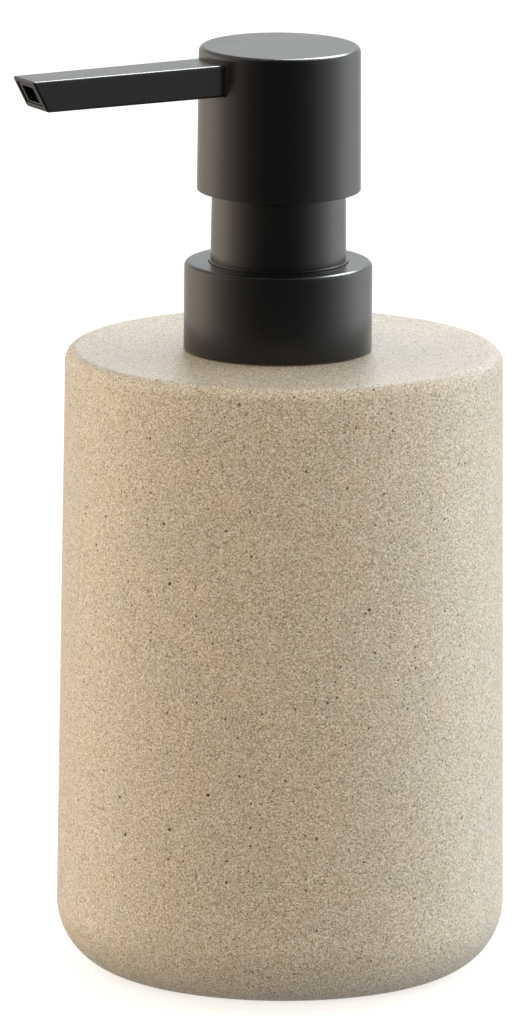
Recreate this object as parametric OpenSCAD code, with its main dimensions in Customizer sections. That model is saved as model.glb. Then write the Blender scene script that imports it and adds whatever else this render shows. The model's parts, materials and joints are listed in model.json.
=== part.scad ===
// Soap pump dispenser: a cast resin bottle with a screw-on lotion pump.
// Millimetres, +Z up. The origin is the centre of the base, and the spout points along -X.

/* [Bottle] */
// Diameter of the side wall, taken down to the surface it stands on
bottle_d = 80; // [74:0.5:90]
// Diameter of the side wall, taken up to the top face
bottle_top_d = 77.7; // [74:0.1:82]
// Height of the top face above the surface it stands on
bottle_h = 112.4; // [100:0.2:140]
// Radius of the corner between base and side
base_corner_r = 12.4; // [8:0.2:14]
// Radius of the edge between side and top face
shoulder_r = 2.2; // [0.6:0.1:3]
// Thickness of the cast side wall
wall_t = 5; // [3.5:0.1:6]
// Thickness of the cast floor
floor_t = 6; // [4:0.1:9]
// Thickness of the cast roof around the mouth
roof_t = 7; // [5:0.1:9]
// Radius of the corner between floor and wall inside
cavity_corner_r = 8; // [4:0.1:12]
// How far the mouth stands from the bottle's centre, towards the spout
mouth_offset = 1.3; // [0:0.1:2]

/* [Base pad] */
// Diameter of the glued non-slip pad
pad_d = 50; // [36:0.5:52]
// Thickness of the pad
pad_t = 1.5; // [1:0.1:3]
// How far the pad stands proud of the base
pad_proud = 0.2; // [0.1:0.1:0.9]

/* [Neck insert] */
// Outer diameter of the neck's screw thread
thread_d = 27.4; // [26.8:0.1:27.8]
// Height of the thread's ridge over the neck tube
thread_depth = 1.15; // [0.9:0.05:1.3]
// Rise of the thread in one turn
thread_lead = 4.2; // [3.8:0.1:4.6]
// Bore of the neck
neck_bore_d = 21; // [19.5:0.1:22]
// Height of the neck above the bottle's top face
neck_h = 9.6; // [9.2:0.1:10.2]
// Diameter of the flange let into the top face
insert_flange_d = 30.6; // [29:0.1:32]
// Thickness of that flange
insert_flange_t = 1.5; // [1:0.1:2.5]
// Diameter of the spigot glued into the mouth
spigot_d = 26.4; // [25:0.1:27.5]
// How far the spigot reaches past the roof into the bottle
spigot_reach = 1.5; // [0.5:0.1:4]

/* [Collar] */
// Outer diameter of the collar
collar_d = 33.4; // [32.6:0.1:36]
// Height of the collar's top above the bottle's top face
collar_h = 15.9; // [15.2:0.1:17.5]
// Gap between the collar and the bottle's top face
collar_gap = 0.3; // [0.2:0.1:0.8]
// Thickness of the collar's outer shell
collar_shell_t = 1; // [0.8:0.05:1.2]
// Radius of the collar's upper edge
collar_edge_r = 0.9; // [0.3:0.1:1]
// Thickness of the threaded liner's roof
liner_roof_t = 1.6; // [1.3:0.1:1.9]

/* [Neck sleeve] */
// Outer diameter of the sleeve at its foot
sleeve_d = 24.1; // [23.6:0.1:24.4]
// Outer diameter of the sleeve at its top
sleeve_top_d = 23.7; // [23.2:0.1:24]
// Bore of the sleeve
sleeve_bore_d = 21.8; // [21.4:0.1:22]
// Width of the groove between sleeve and collar
sleeve_groove = 0.3; // [0.2:0.05:0.9]
// Diameter of the sleeve's foot flange
sleeve_foot_d = 28.6; // [27:0.1:29.4]
// Thickness of the foot flange
sleeve_foot_t = 0.8; // [0.5:0.1:1]
// Thickness of the sleeve's top plate
sleeve_roof_t = 1.2; // [0.8:0.1:1.8]

/* [Head] */
// Outer diameter of the head at its lower rim
head_d = 29.1; // [28.4:0.1:32]
// Outer diameter of the head at its top
head_top_d = 28.7; // [28:0.1:31]
// Height of the head
head_h = 25.8; // [24.6:0.1:29]
// Gap between collar and head when the pump is up
head_gap = 12.9; // [12.6:0.1:15]
// Wall of the head's outer shell
head_shell_t = 1; // [0.7:0.05:1.1]
// Thickness of the head's top
head_roof_t = 1.3; // [0.9:0.1:1.6]
// Radius of the head's top edge
head_edge_r = 1; // [0.3:0.1:1.2]
// Bore of the skirt that slides over the sleeve
skirt_bore_d = 24.9; // [24.6:0.1:25.2]
// Diameter of the hub that holds the stem
hub_d = 12; // [10.5:0.1:14]
// Thickness of the web and ribs inside the head
web_t = 1.6; // [1:0.1:2]

/* [Spout] */
// Reach of the spout's upper edge from the pump's axis
spout_reach = 51.8; // [40:0.2:62]
// Height of the spout's section
spout_h = 5.7; // [4.8:0.1:6]
// Width of the spout where it leaves the head
spout_root_w = 9.1; // [8:0.1:10]
// Width of the spout at its tip
spout_tip_w = 7.9; // [7.4:0.1:9]
// How far the lower edge of the tip is cut back
spout_cut = 3; // [0:0.1:6]
// Drop from the top of the head to the top of the spout
spout_drop = 1.8; // [1.4:0.1:2]
// Wall of the spout's sides
spout_wall = 1; // [0.8:0.05:1.2]
// Width of the soap channel
channel_w = 3.8; // [3:0.1:4.2]
// Height of the soap channel
channel_h = 2.8; // [2:0.1:3]
// Wall of the spout's liner above and below the channel
liner_wall = 0.35; // [0.2:0.05:0.5]

/* [Pump] */
// Travel of the head
stroke = 12; // [9:0.5:12]
// Play between stem and piston that opens and shuts the outlet
valve_play = 1; // [0.6:0.1:1.4]
// Bore of the pump's cylinder
cylinder_bore_d = 13.2; // [12.6:0.1:13.6]
// Wall of the cylinder
cylinder_wall = 1.2; // [1:0.1:1.6]
// Diameter of the flange that seals on the neck
flange_d = 25.4; // [24.6:0.1:25.4]
// Thickness of that flange
flange_t = 1.5; // [1.2:0.1:2]
// Thickness of the gasket under the flange
gasket_t = 1; // [0.8:0.1:1.2]
// Outer diameter of the stem
stem_d = 7.6; // [7:0.1:8]
// Bore of the stem
stem_bore_d = 3.6; // [3:0.1:4]
// Outer diameter of the stem's lower end, inside the piston
stem_tail_d = 5.6; // [5.2:0.1:6]
// Height of the piston
piston_h = 9; // [8:0.2:12]
// Mean diameter of the return spring
spring_d = 9.4; // [9:0.1:10]
// Diameter of the spring's wire
wire_d = 0.9; // [0.6:0.05:1]
// Number of turns in the spring
spring_turns = 8; // [6:0.5:9]
// Diameter of the check ball
ball_d = 5; // [4.6:0.1:5.4]
// How far the check ball can lift
ball_lift = 1.5; // [1:0.1:1.8]
// Outer diameter of the dip tube
dip_tube_d = 6.6; // [6:0.1:7]
// Wall of the dip tube
dip_tube_wall = 0.9; // [0.6:0.05:1.2]
// Gap between the dip tube and the floor
dip_tube_gap = 2; // [1:0.2:6]

/* [Hidden] */

// Clearances
glue_gap = 0.1;       // radial, between pieces that are glued together
press_gap = 0.03;     // radial, between pieces that are pushed together
run_gap = 0.07;       // radial, between a shaft and its guide
seal_gap = 0.05;      // radial, between a sealing lip and its bore
free_gap = 0.3;       // between pieces that turn past each other
stop_gap = 0.1;       // axial, between a moving piece and its stop
merge = 0.2;          // how far joined solids reach into each other
cut = 1;              // how far a cutting tool runs past a face
round_fn = 96;        // facets of a full turn, where a viewer shows them
small_fn = 32;        // the same for small holes
arc_steps = 12;       // steps in the arc of a turned outline

// Colours
resin_colour = "#cdbda6";
black_colour = "#1c1c1c";
moulded_colour = "#e9e7e1";
steel_colour = "#b9bcc0";
seal_colour = "#4a4c4f";

// Bottle
base_z = pad_proud;
cavity_z = base_z + floor_t;
cavity_top_z = bottle_h - roof_t;
roof_corner_r = cavity_corner_r / 2;
side_slope = atan((bottle_d - bottle_top_d) / 2 / bottle_h);

// Neck and collar, from the top face upwards
neck_tube_d = thread_d - 2 * thread_depth;
neck_top_z = bottle_h + neck_h;
flange_z = neck_top_z + gasket_t;
flange_top_z = flange_z + flange_t;
cylinder_d = cylinder_bore_d + 2 * cylinder_wall;
hub_wall = 2.2;       // wall of the housing's hub, which the collar turns round
pump_hub_d = cylinder_bore_d + 2 * hub_wall;
liner_roof_z = flange_top_z + stop_gap / 2;
sleeve_foot_z = liner_roof_z + liner_roof_t;
chaplet_z = sleeve_foot_z + stop_gap;
collar_top_z = bottle_h + collar_h;
collar_z = bottle_h + collar_gap;
collar_bore_d = collar_d - 2 * collar_shell_t;
liner_d = collar_bore_d - 2 * glue_gap;
liner_bore_d = thread_d + 2 * free_gap;
female_crest_d = neck_tube_d + 2 * free_gap;

// Thread ridges: width at the root and at the crest, and how their ends fade
ridge_root_w = thread_lead * 0.52;
ridge_crest_w = thread_lead * 0.24;
ridge_turns = 1.05;
ridge_steps = 36;     // stations in a full turn of a ridge
ridge_fade = 3;       // stations over which an end rises to the full height
ridge_low = 0.35;     // share of the full height at the very end
thread_lead_in = 0.7; // plain neck above the thread
neck_ridge_z = neck_top_z - thread_lead_in - ridge_root_w / 2 - thread_lead * ridge_turns;
ridge_start = 5;      // angle at which the neck's ridge starts
ridge_lag = 70;       // the collar's ridge starts this many degrees later

// Head
head_z = collar_top_z + head_gap;
head_top_z = head_z + head_h;
sleeve_cover = 2.1;   // how far the sleeve stays inside the head when the pump is up
head_stop = 0.9;      // room left between sleeve and web when the head is down
sleeve_top_z = head_z + sleeve_cover;
web_z = sleeve_top_z + stroke + head_stop;
core_top_z = head_top_z - head_roof_t;
rim_set_back = 0.4;   // the core's rim stands above the shell's rim
rib_set_back = 0.2;   // the core's ribs end inside its skirt

// Spout
spout_top_z = head_top_z - spout_drop;
spout_z = spout_top_z - spout_h;
channel_z = spout_z + (spout_h - channel_h) / 2;
liner_inset = (spout_h - channel_h) / 2 - liner_wall;          // of the liner from the spout's top and foot
boss_w = spout_root_w - 2 * spout_wall;
spout_hold = 3;       // how deep the spout sits inside the shell
boss_reach = head_top_d / 2 - head_shell_t - spout_hold;
spout_root_x = boss_reach + stop_gap;
tip_set_back = 0.2;   // the liner ends this far inside the spout's cut

// Stem and piston at the top of the stroke
stem_top_z = channel_z - merge;
chaplet_flange_d = sleeve_bore_d - 2 * free_gap;
chaplet_flange_t = 1.2;
chaplet_tube_d = 12;
chaplet_plug_h = 7.2; // how far the chaplet reaches into the cylinder
chaplet_relief = 1;   // radial, between the two guides of the chaplet
chaplet_end_z = chaplet_z - chaplet_plug_h;
guide_h = 3;
lip_h = 1.4;          // depth of the cups at the piston's ends
lip_t = 0.6;
lip_root_h = 0.4;     // full width left under each cup
piston_top_z = chaplet_end_z - stop_gap;
piston_z = piston_top_z - piston_h;
shoulder_z = piston_top_z - lip_h + valve_play + stop_gap;
seat_z = piston_z + lip_h - stop_gap;
seat_t = 1.8;
seat_d = cylinder_bore_d - 2 * lip_t - 2 * free_gap;
tang_h = 5;
tang_t = 1.2;
pilot_h = 3;
pilot_d = spring_d - wire_d - 2 * free_gap;
port_d = 1.4;
waist_depth = 0.7;    // how far the piston's middle stands back from the bore

// Spring, valve and dip tube
spring_top_z = seat_z - seat_t;
spring_spare = 2;     // travel left in the spring when the head is down
spring_h = stroke + (spring_turns + 1) * wire_d + spring_spare;
spring_play = 0.04;   // axial, shared by the spring's ends
end_pitch = wire_d * 1.1;
cage_top_z = spring_top_z - spring_h;
cage_t = 2.5;
floor_z = cage_top_z - cage_t;
cylinder_foot = 1.5;  // how far the cylinder's outside reaches below its floor
ball_room_d = ball_d + 2;
ball_stop_h = 1.1;    // pin under the cage that stops the ball
ball_stop_d = 2.4;
seat_hole_d = ball_d * 0.6;
ball_rest_z = floor_z - ball_stop_h - stop_gap - ball_lift - ball_d / 2;
cone_z = ball_rest_z - ball_d / 2 * sqrt(2) - seal_gap;      // where the seat's cone would close
seat_bottom_z = cone_z + seat_hole_d / 2;
seat_top_z = cone_z + ball_room_d / 2;
throat_h = 1;         // straight bore between the ball's seat and the socket
socket_top_z = seat_bottom_z - throat_h;
socket_h = 10;
nozzle_wall = 1.7;    // wall round the dip tube's socket
nozzle_d = dip_tube_d + 2 * nozzle_wall;
dip_top_z = socket_top_z - stop_gap;
dip_z = cavity_z + dip_tube_gap;
vent_d = 1.2;
cage_port_d = 1.7;
cage_ports = 4;
gasket_inset = 0.2;   // radial, from the flange's edge

// Radius of a circle of radius r that touches the bottle's side line, moved in by "inset",
// when its centre is at height z
function side_centre(z, r, inset = 0) =
    bottle_d / 2 - inset - z * tan(side_slope) - r / cos(side_slope);

// Diameter of the head's core at height z, inside the tapered shell
function core_d(z) =
    head_d - (head_d - head_top_d) * (z - head_z) / head_h - 2 * (head_shell_t + glue_gap);

// Points on an arc in the plane of a turned outline
function arc(c, r, from, to) =
    [for (i = [0:arc_steps]) let (a = from + (to - from) * i / arc_steps) c + r * [cos(a), sin(a)]];

// Puts a piece on the pump's axis
module at_mouth() {
    translate([-mouth_offset, 0, 0]) children();
}

// Round bar or disc from z0 to z1
module bar(d, z0, z1, d1 = undef) {
    translate([0, 0, z0])
        cylinder(h = z1 - z0, d1 = d, d2 = is_undef(d1) ? d : d1, $fn = round_fn);
}

// Ring or tube from z0 to z1
module tube(d, bore, z0, z1) {
    difference() {
        bar(d, z0, z1);
        bar(bore, z0 - cut, z1 + cut);
    }
}

// Helical ridge. Its root circle lies inside the wall that carries it.
module ridge(root_r, crest_r, z, start) {
    out = sign(crest_r - root_r);
    n = round(ridge_steps * ridge_turns);
    function station(i) =
        let (a = start + 360 * i / ridge_steps,
             grown = min(1, ridge_low + (1 - ridge_low) * min(i, n - i) / ridge_fade),
             crest = root_r + (crest_r - root_r) * grown,
             zc = z + thread_lead * i / ridge_steps)
        [for (p = [[root_r, -ridge_root_w / 2], [crest, -ridge_crest_w / 2],
                   [crest, ridge_crest_w / 2], [root_r, ridge_root_w / 2]])
            [p[0] * cos(a), p[0] * sin(a), zc + out * p[1]]];
    points = [for (i = [0:n]) each station(i)];
    sides = [for (i = [0:n - 1], k = [0:3]) let (a = 4 * i + k, b = 4 * i + (k + 1) % 4)
        each [[a, b, b + 4], [a, b + 4, a + 4]]];
    polyhedron(points, concat([[3, 2, 1, 0]], sides, [[4 * n, 4 * n + 1, 4 * n + 2, 4 * n + 3]]));
}

// Block along the spout: tapered plan, level top and bottom, slanted end.
// "side" moves its sides in, "inset" its top and foot, and "back" draws its end back.
module spout_block(from, side, inset, back) {
    root_w = spout_root_w / 2 - side;
    tip_w = spout_tip_w / 2 - side;
    tip = spout_reach - back;
    intersection() {
        translate([0, 0, spout_z - cut])
            linear_extrude(spout_h + 2 * cut)
                polygon([[-from, -root_w], [-from, root_w], [-tip, tip_w], [-tip, -tip_w]]);
        rotate([90, 0, 0])
            linear_extrude(spout_root_w + 2 * cut, center = true)
                polygon([[-from, spout_z + inset], [-from, spout_top_z - inset],
                         [-tip + spout_cut * inset / spout_h, spout_top_z - inset],
                         [-tip + spout_cut * (1 - inset / spout_h), spout_z + inset]]);
    }
}

// Cast resin bottle with its hollow, the stepped mouth and the recess for the pad
module bottle() {
    low_z = base_z + base_corner_r;
    high_z = bottle_h - shoulder_r;
    in_low_z = cavity_z + cavity_corner_r;
    in_high_z = cavity_top_z - roof_corner_r;
    color(resin_colour)
    difference() {
        rotate_extrude($fn = round_fn)
            polygon(concat([[0, base_z]],
                arc([side_centre(low_z, base_corner_r), low_z], base_corner_r, -90, side_slope),
                arc([side_centre(high_z, shoulder_r), high_z], shoulder_r, side_slope, 90),
                [[0, bottle_h]]));
        rotate_extrude($fn = round_fn)
            polygon(concat([[0, cavity_z]],
                arc([side_centre(in_low_z, cavity_corner_r, wall_t), in_low_z],
                    cavity_corner_r, -90, side_slope),
                arc([side_centre(in_high_z, roof_corner_r, wall_t), in_high_z],
                    roof_corner_r, side_slope, 90),
                [[0, cavity_top_z]]));
        at_mouth() bar(spigot_d + 2 * glue_gap, cavity_top_z - cut, bottle_h + cut);
        at_mouth() bar(insert_flange_d + 2 * glue_gap, bottle_h - insert_flange_t, bottle_h + cut);
        bar(pad_d + 2 * glue_gap, base_z - cut, pad_t);
    }
}

// Non-slip pad glued into the base
module base_pad() {
    color(seal_colour) bar(pad_d, 0, pad_t);
}

// Threaded neck glued into the bottle's mouth
module neck_insert() {
    color(moulded_colour)
    at_mouth()
    difference() {
        union() {
            bar(neck_tube_d, bottle_h - merge, neck_top_z);
            bar(insert_flange_d, bottle_h - insert_flange_t, bottle_h);
            bar(spigot_d, cavity_top_z - spigot_reach, bottle_h - merge);
            ridge(neck_tube_d / 2 - merge, thread_d / 2, neck_ridge_z, ridge_start);
        }
        bar(neck_bore_d, cavity_top_z - spigot_reach - cut, neck_top_z + cut);
    }
}

// Seal between the neck's top and the pump's flange
module gasket() {
    color(seal_colour)
    at_mouth() tube(flange_d - 2 * gasket_inset, cylinder_d + 2 * free_gap, neck_top_z, flange_z);
}

// Threaded inner cap of the collar
module closure_liner() {
    color(moulded_colour)
    at_mouth()
    union() {
        tube(liner_d, liner_bore_d, collar_z + merge, liner_roof_z);
        tube(liner_d, pump_hub_d + 2 * free_gap, liner_roof_z, sleeve_foot_z);
        ridge(liner_bore_d / 2 + 2 * merge, female_crest_d / 2,
              neck_ridge_z + thread_lead * ridge_lag / 360 - thread_lead / 2,
              ridge_start + ridge_lag);
    }
}

// Black outer shell of the collar
module collar_shell() {
    r = collar_d / 2;
    hole_r = sleeve_d / 2 + sleeve_groove;
    roof_z = sleeve_foot_z + sleeve_foot_t;
    color(black_colour)
    at_mouth()
    rotate_extrude($fn = round_fn)
        polygon(concat(
            [[collar_bore_d / 2, collar_z], [r, collar_z]],
            arc([r - collar_edge_r, collar_top_z - collar_edge_r], collar_edge_r, 0, 90),
            [[hole_r, collar_top_z], [hole_r, roof_z], [collar_bore_d / 2, roof_z]]));
}

// Fixed sleeve that the head slides down over; its foot is held in the collar
module neck_sleeve() {
    color(black_colour)
    at_mouth()
    difference() {
        union() {
            bar(sleeve_foot_d, sleeve_foot_z, sleeve_foot_z + sleeve_foot_t);
            bar(sleeve_d, sleeve_foot_z, sleeve_top_z, sleeve_top_d);
        }
        bar(sleeve_bore_d, sleeve_foot_z - cut, sleeve_top_z - sleeve_roof_t);
        bar(chaplet_tube_d + 2 * free_gap, sleeve_foot_z, sleeve_top_z + cut);
    }
}

// Snapped-in guide that closes the cylinder and carries the stem
module chaplet() {
    plug_d = cylinder_bore_d - 2 * press_gap;
    color(moulded_colour)
    at_mouth()
    difference() {
        union() {
            bar(plug_d, chaplet_end_z, chaplet_z);
            bar(chaplet_flange_d, chaplet_z, chaplet_z + chaplet_flange_t);
            bar(chaplet_tube_d, chaplet_z, sleeve_top_z);
        }
        bar(stem_d + 2 * run_gap, chaplet_end_z - cut, sleeve_top_z + cut);
        bar(stem_d + 2 * chaplet_relief, chaplet_end_z + guide_h, sleeve_top_z - guide_h);
    }
}

// Pump body: flange, cylinder, ball seat and dip tube socket in one moulding
module pump_housing() {
    step_z = floor_z - cylinder_foot;
    color(moulded_colour)
    at_mouth()
    difference() {
        union() {
            bar(flange_d, flange_z, flange_top_z);
            bar(pump_hub_d, flange_top_z - merge, chaplet_z);
            bar(cylinder_d, step_z, flange_z + merge);
            bar(nozzle_d, step_z - (cylinder_d - nozzle_d) / 2, step_z, cylinder_d);
            bar(nozzle_d, socket_top_z - socket_h, step_z - merge);
        }
        bar(cylinder_bore_d, floor_z, chaplet_z + cut);
        bar(ball_room_d, seat_top_z, floor_z + merge);
        bar(seat_hole_d, seat_bottom_z, seat_top_z, ball_room_d);
        bar(seat_hole_d, socket_top_z - merge, seat_bottom_z + merge);
        bar(dip_tube_d + 2 * press_gap, socket_top_z - socket_h - cut, socket_top_z);
        // Air vent, shut by the piston's upper lip when the pump is up
        translate([0, 0, piston_top_z - lip_h / 2])
            rotate([0, 90, 0])
                cylinder(h = cylinder_d, d = vent_d, $fn = small_fn);
    }
}

// Disc that seats the spring and keeps the ball in its chamber
module ball_cage() {
    color(moulded_colour)
    at_mouth()
    difference() {
        union() {
            bar(cylinder_bore_d - 2 * press_gap, floor_z, cage_top_z);
            bar(ball_stop_d, floor_z - ball_stop_h, floor_z + merge);
        }
        for (i = [0:cage_ports - 1])
            rotate([0, 0, 360 / cage_ports * (i + 0.5)])
                translate([(ball_room_d - cage_port_d) / 2, 0, floor_z - cut])
                    cylinder(h = cage_t + 2 * cut, d = cage_port_d, $fn = small_fn);
    }
}

// Steel ball of the inlet valve
module check_ball() {
    color(steel_colour)
    at_mouth() translate([0, 0, ball_rest_z]) sphere(d = ball_d, $fn = 48);
}

// Return spring, a swept coil with level ends
module return_spring() {
    sides = 6;
    steps = 20;
    n = round(steps * spring_turns);
    half = wire_d / 2;
    low = cage_top_z + half + spring_play / 2;
    rise = spring_h - wire_d - spring_play;
    // The end turns lie nearly flat, the middle ones share the height
    function lift(t) = let (u = t * spring_turns, e = min(u, spring_turns - u))
        e < 1 ? (u < spring_turns / 2 ? e * end_pitch : rise - e * end_pitch)
              : end_pitch + (rise - 2 * end_pitch) * (u - 1) / (spring_turns - 2);
    points = [for (i = [0:n], k = [0:sides - 1])
        let (a = 360 * i / steps, b = 360 * k / sides,
             r = spring_d / 2 + half * cos(b))
        [r * cos(a), r * sin(a), low + lift(i / n) + half * sin(b)]];
    walls = [for (i = [0:n - 1], k = [0:sides - 1])
        let (a = sides * i + k, b = sides * i + (k + 1) % sides)
        each [[a, b, b + sides], [a, b + sides, a + sides]]];
    color(steel_colour)
    at_mouth()
    polyhedron(points, concat([[for (k = [0:sides - 1]) sides - 1 - k]], walls,
                              [[for (k = [0:sides - 1]) sides * n + k]]));
}

// Double-lipped piston that slides on the stem's tail
module piston() {
    outer_d = cylinder_bore_d - 2 * seal_gap;
    band_h = lip_h + lip_root_h;
    waist_d = cylinder_bore_d - 2 * waist_depth;
    cup_d = cylinder_bore_d - 2 * lip_t;
    color(seal_colour)
    at_mouth()
    difference() {
        bar(outer_d, piston_z, piston_top_z);
        tube(cylinder_bore_d + cut, waist_d, piston_z + band_h, piston_top_z - band_h);
        bar(cup_d, piston_top_z - lip_h, piston_top_z + cut);
        bar(cup_d, piston_z - cut, piston_z + lip_h);
        bar(stem_tail_d + 2 * run_gap, piston_z - cut, piston_top_z + cut);
    }
}

// Hollow stem with its outlet ports
module stem() {
    color(moulded_colour)
    at_mouth()
    difference() {
        union() {
            bar(stem_d, shoulder_z, stem_top_z);
            bar(stem_tail_d, seat_z, shoulder_z + merge);
        }
        bar(stem_bore_d, seat_z - cut, stem_top_z + cut);
        translate([0, 0, seat_z + stop_gap + port_d / 2])
            rotate([90, 0, 0])
                cylinder(h = stem_d + cut, d = port_d, center = true, $fn = small_fn);
    }
}

// Valve seat pressed into the stem's end; its flat tang leaves the bore open
module stem_plug() {
    color(moulded_colour)
    at_mouth()
    union() {
        bar(seat_d, seat_z - seat_t, seat_z);
        bar(pilot_d, spring_top_z - pilot_h, spring_top_z + merge);
        intersection() {
            bar(stem_bore_d - 2 * press_gap, seat_z - merge, seat_z + tang_h);
            translate([-tang_t / 2, -stem_bore_d / 2, seat_z - merge])
                cube([tang_t, stem_bore_d, tang_h + merge]);
        }
    }
}

// Tube that reaches down to the soap
module dip_tube() {
    color(moulded_colour)
    at_mouth() tube(dip_tube_d, dip_tube_d - 2 * dip_tube_wall, dip_z, dip_top_z);
}

// Inner moulding of the head: skirt, web, hub and the boss that leads to the spout
module actuator_core() {
    low_z = head_z + rim_set_back;
    shelf_z = web_z + web_t;
    rib_reach = core_d(core_top_z) / 2 - rib_set_back;
    color(moulded_colour)
    at_mouth()
    difference() {
        union() {
            bar(core_d(low_z), low_z, shelf_z, core_d(shelf_z));
            bar(hub_d, web_z, core_top_z);
            for (a = [0, 90, 270])
                rotate([0, 0, a])
                    translate([0, -web_t / 2, web_z])
                        cube([rib_reach, web_t, core_top_z - web_z]);
            translate([-boss_reach, -boss_w / 2, web_z])
                cube([boss_reach, boss_w, core_top_z - web_z]);
        }
        bar(skirt_bore_d, head_z, web_z);
        bar(stem_d + 2 * press_gap, web_z - cut, stem_top_z);
        bar(stem_bore_d, web_z, channel_z + channel_h);
        translate([-boss_reach - cut, -channel_w / 2, channel_z])
            cube([boss_reach + cut, channel_w, channel_h]);
    }
}

// Black outer shell of the head, with the window for the spout
module head_shell() {
    r = head_d / 2;
    top_r = head_top_d / 2;
    roof_z = head_top_z - head_roof_t;
    slope = atan((r - top_r) / head_h);
    color(black_colour)
    at_mouth()
    difference() {
        rotate_extrude($fn = round_fn)
            polygon(concat(
                [[0, roof_z], [top_r - head_shell_t, roof_z], [r - head_shell_t, head_z],
                 [r, head_z]],
                arc([top_r - head_edge_r, head_top_z - head_edge_r], head_edge_r, slope, 90),
                [[0, head_top_z]]));
        spout_block(top_r - head_shell_t - cut * 2, -press_gap, -press_gap, 0);
    }
}

// Black spout, a tapered rectangular tube let into the head's window
module spout() {
    color(black_colour)
    at_mouth()
    difference() {
        spout_block(spout_root_x, 0, 0, 0);
        spout_block(spout_root_x - cut, spout_wall, liner_inset - glue_gap, -cut * 2);
    }
}

// Inner tube that carries the soap from the core to the tip
module spout_liner() {
    color(black_colour)
    at_mouth()
    difference() {
        spout_block(spout_root_x, spout_wall + glue_gap, liner_inset, tip_set_back);
        translate([-spout_reach - cut, -channel_w / 2, channel_z])
            cube([spout_reach, channel_w, channel_h]);
    }
}

bottle();
neck_insert();
base_pad();
gasket();
closure_liner();
collar_shell();
neck_sleeve();
chaplet();
pump_housing();
ball_cage();
check_ball();
return_spring();
piston();
stem();
stem_plug();
dip_tube();
actuator_core();
head_shell();
spout();
spout_liner();
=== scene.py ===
import json
import math

import bpy
from bpy.props import FloatProperty, FloatVectorProperty, IntProperty, PointerProperty
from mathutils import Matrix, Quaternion, Vector

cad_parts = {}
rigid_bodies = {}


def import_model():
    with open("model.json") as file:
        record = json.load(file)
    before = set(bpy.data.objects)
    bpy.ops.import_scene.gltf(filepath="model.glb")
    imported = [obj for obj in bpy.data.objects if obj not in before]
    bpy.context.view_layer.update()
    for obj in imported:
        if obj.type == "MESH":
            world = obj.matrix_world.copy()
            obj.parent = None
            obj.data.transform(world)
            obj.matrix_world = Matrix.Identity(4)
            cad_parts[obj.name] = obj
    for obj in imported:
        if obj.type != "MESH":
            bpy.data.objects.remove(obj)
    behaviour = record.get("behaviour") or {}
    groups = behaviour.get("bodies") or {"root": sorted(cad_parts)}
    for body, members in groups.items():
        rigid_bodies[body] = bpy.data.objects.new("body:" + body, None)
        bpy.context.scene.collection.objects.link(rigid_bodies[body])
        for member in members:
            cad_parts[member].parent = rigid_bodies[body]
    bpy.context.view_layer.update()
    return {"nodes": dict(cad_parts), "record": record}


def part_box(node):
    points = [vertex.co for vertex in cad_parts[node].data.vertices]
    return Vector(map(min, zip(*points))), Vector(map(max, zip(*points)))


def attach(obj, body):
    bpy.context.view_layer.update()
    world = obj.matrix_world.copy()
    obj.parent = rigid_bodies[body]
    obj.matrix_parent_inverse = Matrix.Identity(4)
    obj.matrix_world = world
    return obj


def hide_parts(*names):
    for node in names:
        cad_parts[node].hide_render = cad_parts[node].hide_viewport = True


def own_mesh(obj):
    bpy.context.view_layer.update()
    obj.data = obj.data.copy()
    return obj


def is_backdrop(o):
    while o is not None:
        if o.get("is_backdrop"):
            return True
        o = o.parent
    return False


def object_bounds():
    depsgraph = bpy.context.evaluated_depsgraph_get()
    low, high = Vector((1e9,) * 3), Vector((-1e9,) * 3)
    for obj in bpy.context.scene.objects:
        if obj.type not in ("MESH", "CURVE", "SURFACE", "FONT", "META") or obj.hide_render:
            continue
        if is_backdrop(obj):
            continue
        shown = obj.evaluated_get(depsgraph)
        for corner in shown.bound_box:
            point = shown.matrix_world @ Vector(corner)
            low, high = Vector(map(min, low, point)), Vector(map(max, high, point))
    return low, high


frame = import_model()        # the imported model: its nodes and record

bl_info = {
    "name": "Soap pump dispenser",
    "version": (1, 0, 0),
    "blender": (4, 5, 0),
    "location": "3D View > Sidebar > Soap pump",
    "description": "Makes a cast resin soap bottle with a satin black screw-on pump, "
                   "and a small studio for it",
    "category": "Object",
}

# Lengths are in metres, as in the frame: +Z up, the bottle's axis on Z, the spout along -X.
MM = 0.001
FULL_TURN = 2 * math.pi
ON_AXIS = 1e-7         # a radius under this is a point on the axis
CREASE = 35            # degrees between two faces from which their edge stays sharp
LAMP_DISTANCE = 1.3    # from the middle of the object
# Where most values of a noise texture lie.
NOISE_RANGE = {"From Min": 0.3, "From Max": 0.7}


# ---------------------------------------------------------------- colours and nodes

def linear(code):
    """Linear RGB of an sRGB hex value."""
    parts = [int(code[i:i + 2], 16) / 255 for i in (1, 3, 5)]
    return [p / 12.92 if p <= 0.04045 else ((p + 0.055) / 1.055) ** 2.4 for p in parts]


def colour(name, description, code):
    """A colour that the user can change, from its hex value."""
    return FloatVectorProperty(name=name, description=description, subtype="COLOR", size=3,
                               min=0, max=1, default=linear(code))


def length(name, description, millimetres, low=0.0, high=1000.0):
    """A length that the user can change, given in millimetres."""
    return FloatProperty(name=name, description=description, unit="LENGTH", precision=5,
                         default=millimetres * MM, min=low * MM, max=high * MM)


def share(name, description, default, high=1.0):
    """A plain number from 0 to "high" that the user can change."""
    return FloatProperty(name=name, description=description, subtype="FACTOR",
                         default=default, min=0, max=high)


def rgba(value):
    """Colour with full alpha, as sockets and ramps take it."""
    return (*value, 1.0)


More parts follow.
